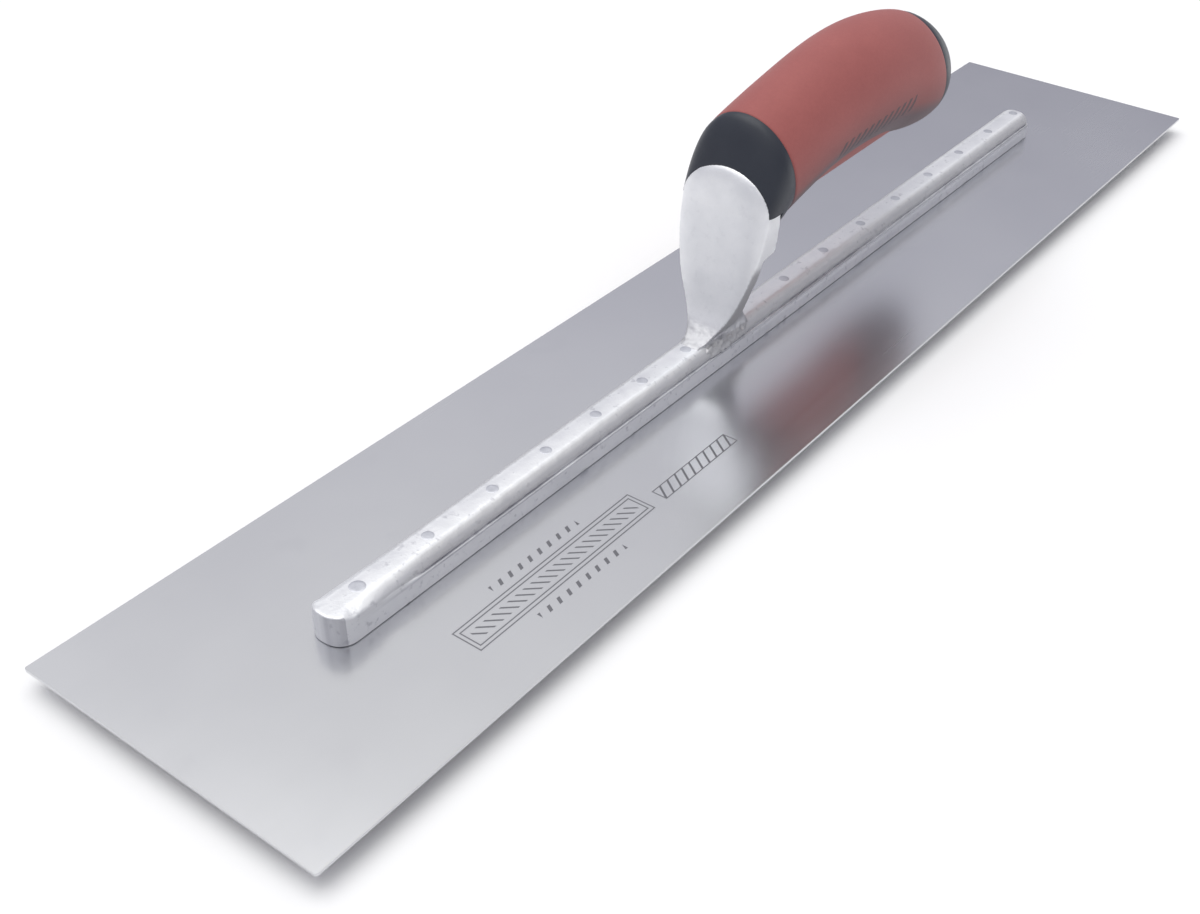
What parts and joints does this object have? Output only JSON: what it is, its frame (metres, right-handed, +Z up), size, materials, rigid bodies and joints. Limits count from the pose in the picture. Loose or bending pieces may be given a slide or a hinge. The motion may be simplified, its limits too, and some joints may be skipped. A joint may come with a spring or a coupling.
{
  "type": "concrete finishing trowel",
  "caption": "Long flat steel trowel blade riveted to a cast aluminium bar with a gooseneck shank and a curved soft-grip handle, for smoothing concrete.",
  "frame": {"origin": "centre of the blade's sole, the face that lies on the concrete", "axes": "+X along the blade from toe to heel (the handle's butt points this way), +Y across the blade to the user's right when pushing toe first, +Z up from the sole"},
  "size_m": [0.508, 0.1016, 0.0908],
  "materials": {
    "blade_steel": "finely ground spring steel, satin",
    "cast_aluminium": "tumbled die casting with linished top and nose",
    "rivet_steel": "upset and ground flush",
    "handle_black": "satin moulded hard plastic",
    "grip_red": "matt fine-grained soft overmould",
    "fastener_steel": "plain bright zinc"
  },
  "bodies": {
    "root": {"blade": "blade_steel", "mounting": "cast_aluminium", "blade_rivets": "rivet_steel", "handle_core": "handle_black", "grip_sleeve": "grip_red", "flat_washer": "fastener_steel", "spring_washer": "fastener_steel", "handle_bolt": "fastener_steel"}
  },
  "joints": []
}
